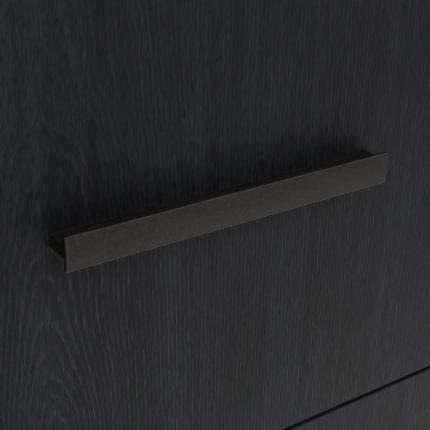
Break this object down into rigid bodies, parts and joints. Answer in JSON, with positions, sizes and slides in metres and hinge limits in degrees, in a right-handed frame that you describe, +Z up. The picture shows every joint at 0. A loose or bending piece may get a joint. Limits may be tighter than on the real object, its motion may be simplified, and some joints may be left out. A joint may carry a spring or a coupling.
{
  "type": "dresser with drawers",
  "caption": "Low chest with deep drawers in two columns, black stained ash fronts, long T-section metal pulls, a recessed plinth and ball-bearing slides.",
  "frame": {"origin": "on the floor, under the middle of the overall width and depth", "axes": "+X to the right as seen from the front, -Y out of the drawer fronts, +Z up"},
  "size_m": [1.2, 0.489, 0.84],
  "materials": {
    "black_ash": "black stained, wire-brushed ash veneer, low sheen",
    "black_foil": "plain black foil on board, matt",
    "hardboard": "black lacquered hardboard",
    "box_foil": "grey linen-pattern foil on board, matt",
    "box_floor": "grey lacquered hardboard",
    "bronze": "dark bronze fine-texture powder coat on aluminium",
    "zinc": "bright zinc plate",
    "screw_steel": "zinc-plated steel",
    "glide_plastic": "black moulded plastic",
    "bumper_rubber": "translucent soft plastic",
    "birch": "raw fluted birch"
  },
  "bodies": {
    "case": {"top_panel": "black_ash", "side_panel_left": "black_ash", "side_panel_right": "black_ash", "bottom_panel": "black_foil", "centre_divider": "black_foil", "back_panel": "hardboard", "back_rail": "black_foil", "plinth_front": "black_ash", "plinth_back": "black_foil", "plinth_ties": "black_foil", "glides": "glide_plastic", "cam_fittings": "zinc", "dowels": "birch", "slide_outer": "zinc", "slide_screws": "screw_steel", "bumpers": "bumper_rubber"},
    "lower_left_drawer": {"lower_left_front": "black_ash", "lower_left_pull": "bronze", "lower_left_pull_screws": "screw_steel", "lower_left_box_left": "box_foil", "lower_left_box_right": "box_foil", "lower_left_box_front": "box_foil", "lower_left_box_back": "box_foil", "lower_left_box_floor": "box_floor", "lower_left_box_screws": "screw_steel", "lower_left_slide_inner": "zinc"},
    "lower_left_cages": {"lower_left_ball_cages": "screw_steel"},
    "lower_right_drawer": {"lower_right_front": "black_ash", "lower_right_pull": "bronze", "lower_right_pull_screws": "screw_steel", "lower_right_box_left": "box_foil", "lower_right_box_right": "box_foil", "lower_right_box_front": "box_foil", "lower_right_box_back": "box_foil", "lower_right_box_floor": "box_floor", "lower_right_box_screws": "screw_steel", "lower_right_slide_inner": "zinc"},
    "lower_right_cages": {"lower_right_ball_cages": "screw_steel"},
    "upper_left_drawer": {"upper_left_front": "black_ash", "upper_left_pull": "bronze", "upper_left_pull_screws": "screw_steel", "upper_left_box_left": "box_foil", "upper_left_box_right": "box_foil", "upper_left_box_front": "box_foil", "upper_left_box_back": "box_foil", "upper_left_box_floor": "box_floor", "upper_left_box_screws": "screw_steel", "upper_left_slide_inner": "zinc"},
    "upper_left_cages": {"upper_left_ball_cages": "screw_steel"},
    "upper_right_drawer": {"upper_right_front": "black_ash", "upper_right_pull": "bronze", "upper_right_pull_screws": "screw_steel", "upper_right_box_left": "box_foil", "upper_right_box_right": "box_foil", "upper_right_box_front": "box_foil", "upper_right_box_back": "box_foil", "upper_right_box_floor": "box_floor", "upper_right_box_screws": "screw_steel", "upper_right_slide_inner": "zinc"},
    "upper_right_cages": {"upper_right_ball_cages": "screw_steel"}
  },
  "joints": [
    {"name": "lower_left_slide", "type": "slide", "parent": "case", "child": "lower_left_drawer", "axis": [0, -1, 0], "range_m": [0, 0.29]},
    {"name": "lower_left_cage_roll", "type": "slide", "parent": "case", "child": "lower_left_cages", "axis": [0, -1, 0], "range_m": [0, 0.145]},
    {"name": "lower_right_slide", "type": "slide", "parent": "case", "child": "lower_right_drawer", "axis": [0, -1, 0], "range_m": [0, 0.29]},
    {"name": "lower_right_cage_roll", "type": "slide", "parent": "case", "child": "lower_right_cages", "axis": [0, -1, 0], "range_m": [0, 0.145]},
    {"name": "upper_left_slide", "type": "slide", "parent": "case", "child": "upper_left_drawer", "axis": [0, -1, 0], "range_m": [0, 0.29]},
    {"name": "upper_left_cage_roll", "type": "slide", "parent": "case", "child": "upper_left_cages", "axis": [0, -1, 0], "range_m": [0, 0.145]},
    {"name": "upper_right_slide", "type": "slide", "parent": "case", "child": "upper_right_drawer", "axis": [0, -1, 0], "range_m": [0, 0.29]},
    {"name": "upper_right_cage_roll", "type": "slide", "parent": "case", "child": "upper_right_cages", "axis": [0, -1, 0], "range_m": [0, 0.145]}
  ],
  "couplings": [
    {"joint": "lower_left_cage_roll", "follows": "lower_left_slide", "ratio": 0.5},
    {"joint": "lower_right_cage_roll", "follows": "lower_right_slide", "ratio": 0.5},
    {"joint": "upper_left_cage_roll", "follows": "upper_left_slide", "ratio": 0.5},
    {"joint": "upper_right_cage_roll", "follows": "upper_right_slide", "ratio": 0.5}
  ]
}
